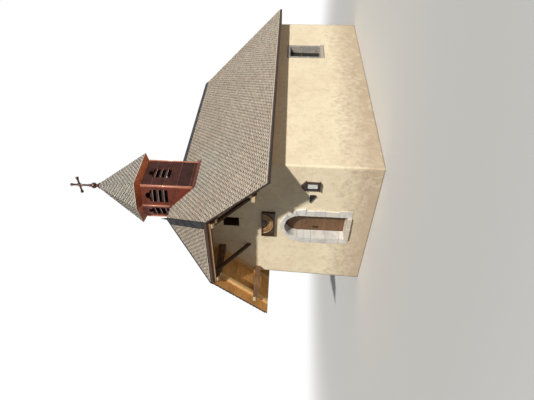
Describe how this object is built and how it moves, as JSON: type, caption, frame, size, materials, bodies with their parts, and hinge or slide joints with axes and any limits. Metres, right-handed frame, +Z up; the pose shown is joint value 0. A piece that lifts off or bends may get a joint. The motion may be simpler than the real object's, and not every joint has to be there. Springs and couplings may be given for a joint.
{
  "type": "small chapel",
  "caption": "Small plastered chapel with a three-sided apse, a deep timber porch roof with a half hip, a louvred ridge belfry with a shingled spire, and a plank door.",
  "frame": {"origin": "on the ground, in the middle of the roof's plan, on the chapel's axis", "axes": "+X to the right seen from the front, +Y back along the nave, +Z up"},
  "size_m": [6.65, 14.305, 11.2245],
  "materials": {
    "plaster": "rough lime render over rubble masonry",
    "grey_stone": "dressed stone, tooled",
    "floor_stone": "worn stone slabs",
    "timber": "sawn spruce, weathered",
    "dark_timber": "dark stained wood",
    "carved_timber": "carved wood, oiled",
    "painted_timber": "brown glazed wood",
    "door_planks": "brown planks, oiled",
    "shingles": "grey weathered shingles on boards",
    "spire_shingles": "grey weathered shingles",
    "copper": "brown weathered copper sheet",
    "bright_copper": "lighter copper strip",
    "dark_metal": "dark sheet metal",
    "iron": "black forged iron",
    "glass": "clear panes"
  },
  "bodies": {
    "building": {"front_wall_left": "plaster", "front_wall_right": "plaster", "front_wall_over_door": "plaster", "front_wall_under_door": "plaster", "gable_wall": "plaster", "side_wall_left": "plaster", "side_wall_right": "plaster", "apse_wall_left": "plaster", "apse_wall_rear": "plaster", "apse_wall_right": "plaster", "stone_floor": "floor_stone", "door_threshold": "grey_stone", "door_jambs": "grey_stone", "door_arch_stones": "grey_stone", "door_keystone": "grey_stone", "door_pintles": "iron", "window_frames": "grey_stone", "window_sills": "grey_stone", "window_sashes": "painted_timber", "window_glass": "glass", "wall_plates": "timber", "apse_wall_plate": "timber", "purlins": "timber", "apse_purlin": "timber", "half_hip_beam": "timber", "half_hip_braces": "timber", "rafters_left": "timber", "rafters_right": "timber", "apse_rafters": "timber", "half_hip_rafters": "timber", "hip_rafters": "timber", "roof_left": "shingles", "roof_right": "shingles", "roof_half_hip": "shingles", "roof_apse_left": "shingles", "roof_apse_right": "shingles", "roof_apse_rear": "shingles", "belfry_walls": "copper", "belfry_louvres": "dark_timber", "belfry_corner_strips": "bright_copper", "belfry_flashing": "bright_copper", "spire_roof": "spire_shingles", "spire_cornice": "copper", "spire_ball": "bright_copper", "spire_cross": "bright_copper", "ridge_cap": "dark_metal", "apex_spike": "dark_metal", "half_hip_flashing": "dark_metal", "niche_case": "dark_timber", "niche_garland": "carved_timber", "notice_case": "painted_timber", "wall_lamp": "dark_metal"},
    "door": {"door_leaf": "door_planks", "door_ledges": "door_planks", "door_straps": "iron", "door_handle": "iron"}
  },
  "joints": [
    {"name": "door_hinge", "type": "hinge", "parent": "building", "child": "door", "pos_m": [0.59, -5.2435, 0.85], "axis": [0, 0, -1], "range_deg": [0, 100]}
  ]
}
